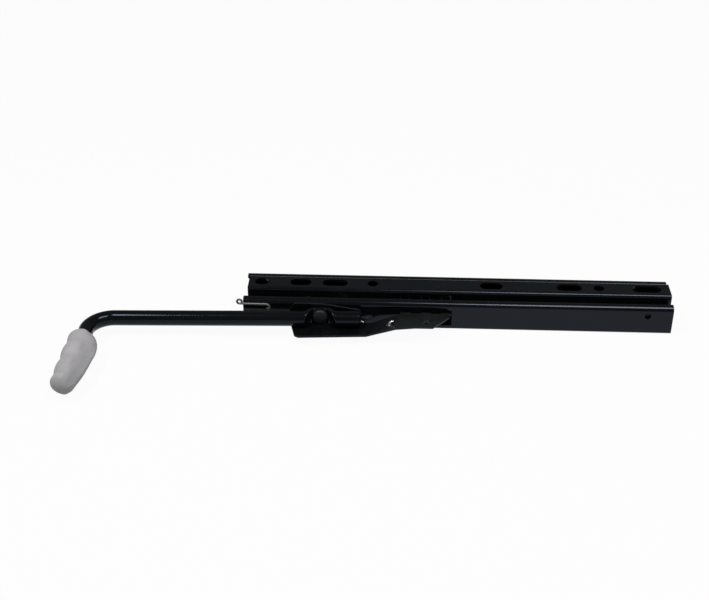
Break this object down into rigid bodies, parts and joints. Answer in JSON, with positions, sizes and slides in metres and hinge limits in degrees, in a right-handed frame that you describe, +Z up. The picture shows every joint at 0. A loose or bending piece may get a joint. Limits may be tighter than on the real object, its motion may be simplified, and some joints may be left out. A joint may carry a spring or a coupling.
{
  "type": "seat slide rail",
  "caption": "Black seat slide rail with a slotted upper rail on ball cages, a side release lever with toothed latch plate and a grey finger grip.",
  "frame": {"origin": "middle of the lower rail's underside", "axes": "+X along the rail away from the grip, +Y across the rail away from the lever, +Z up"},
  "size_m": [0.4987, 0.1637, 0.0297],
  "materials": {
    "black_paint": "gloss",
    "lever_paint": "gloss",
    "grip_plastic": "satin",
    "zinc_wire": "satin",
    "ball_steel": "polished",
    "cage_plastic": "satin",
    "shoe_plastic": "matte"
  },
  "bodies": {
    "lower": {"lower_rail": "black_paint", "pivot_rivet": "lever_paint", "pivot_bush": "zinc_wire", "spring_anchor": "zinc_wire"},
    "upper": {"upper_rail": "black_paint", "near_front_shoe": "shoe_plastic", "near_rear_shoe": "shoe_plastic", "far_front_shoe": "shoe_plastic", "far_rear_shoe": "shoe_plastic"},
    "near_rollers": {"near_cage": "cage_plastic", "near_balls": "ball_steel"},
    "far_rollers": {"far_cage": "cage_plastic", "far_balls": "ball_steel"},
    "lever": {"latch_plate": "lever_paint", "lever_tube": "lever_paint", "handle_grip": "grip_plastic", "return_spring": "zinc_wire"}
  },
  "joints": [
    {"name": "rail_slide", "type": "slide", "parent": "lower", "child": "upper", "axis": [1, 0, 0], "range_m": [-0.07, 0.07]},
    {"name": "near_roll", "type": "slide", "parent": "lower", "child": "near_rollers", "axis": [1, 0, 0], "range_m": [-0.035, 0.035]},
    {"name": "far_roll", "type": "slide", "parent": "lower", "child": "far_rollers", "axis": [1, 0, 0], "range_m": [-0.035, 0.035]},
    {"name": "lever_turn", "type": "hinge", "parent": "lower", "child": "lever", "pos_m": [-0.1144, -0.02325, 0.0159], "axis": [0, 1, 0], "range_deg": [0, 3.3], "stiffness_Nm_per_rad": 1.5, "springref_deg": 20.05}
  ],
  "couplings": [
    {"joint": "near_roll", "follows": "rail_slide", "ratio": 0.5},
    {"joint": "far_roll", "follows": "rail_slide", "ratio": 0.5}
  ]
}
